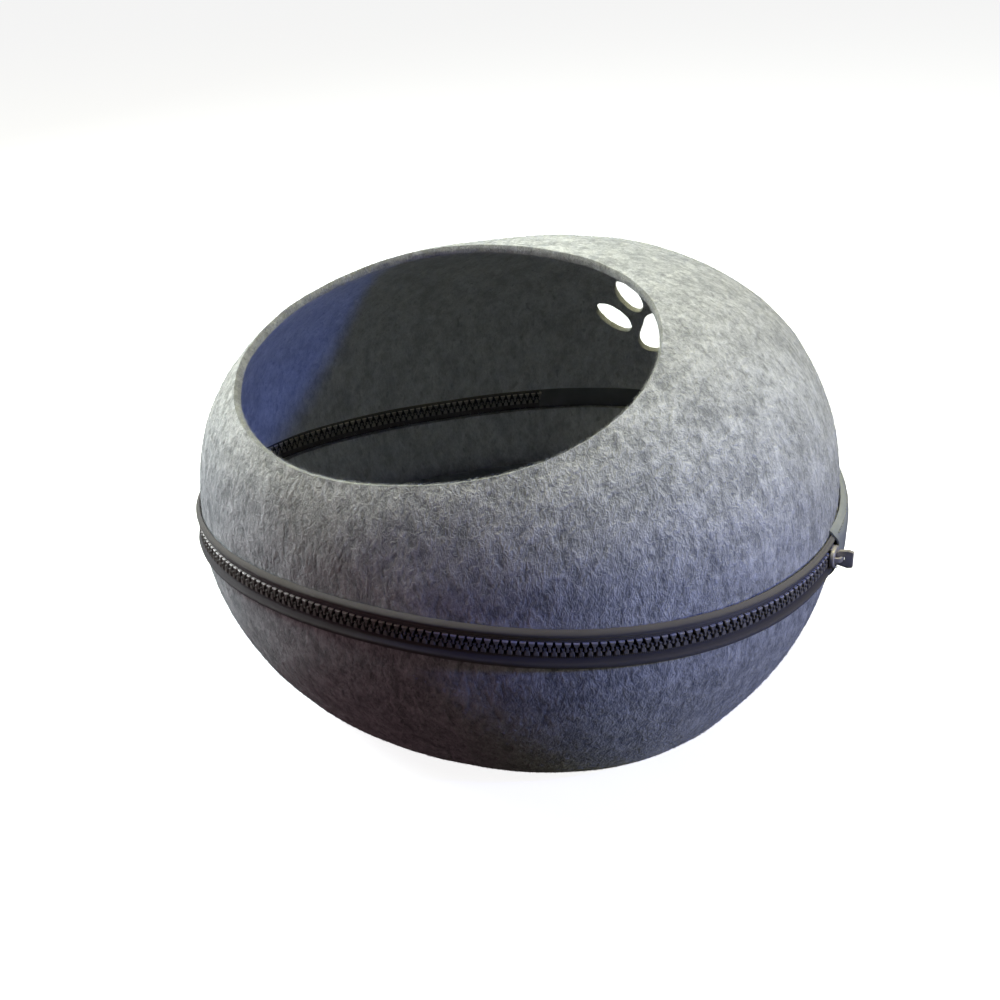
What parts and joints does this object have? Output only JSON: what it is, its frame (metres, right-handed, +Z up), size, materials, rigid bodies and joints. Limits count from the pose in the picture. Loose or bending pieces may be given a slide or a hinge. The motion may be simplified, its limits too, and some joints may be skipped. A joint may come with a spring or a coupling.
{
  "type": "felt cat cave",
  "caption": "Round felt pet cave: a moulded dome with a slanted mouth and paw-shaped vents, zipped to a felt bowl that holds a soft cushion.",
  "frame": {"origin": "on the resting plane, under the middle of the flat base", "axes": "+Z up from the floor; -Y towards the front, where the mouth opens; +X to the side where the zip ends closed"},
  "size_m": [0.4149, 0.4113, 0.2911],
  "materials": {
    "felt_upper": "mottled light grey needle felt",
    "felt_lower": "mottled grey needle felt",
    "zip_tape": "dark grey twill tape",
    "zip_teeth": "dark moulded teeth, slightly glossy",
    "zip_metal": "grey lacquered die casting",
    "hinge_cloth": "plain grey binding cloth",
    "cushion_cloth": "dark grey brushed cloth"
  },
  "bodies": {
    "root": {"shell_upper": "felt_upper", "shell_lower": "felt_lower", "tape_upper": "zip_tape", "tape_lower": "zip_tape", "zip_chain": "zip_teeth", "zip_slider": "zip_metal", "zip_pull": "zip_metal", "hinge_patch": "hinge_cloth", "floor_pad": "cushion_cloth"}
  },
  "joints": []
}
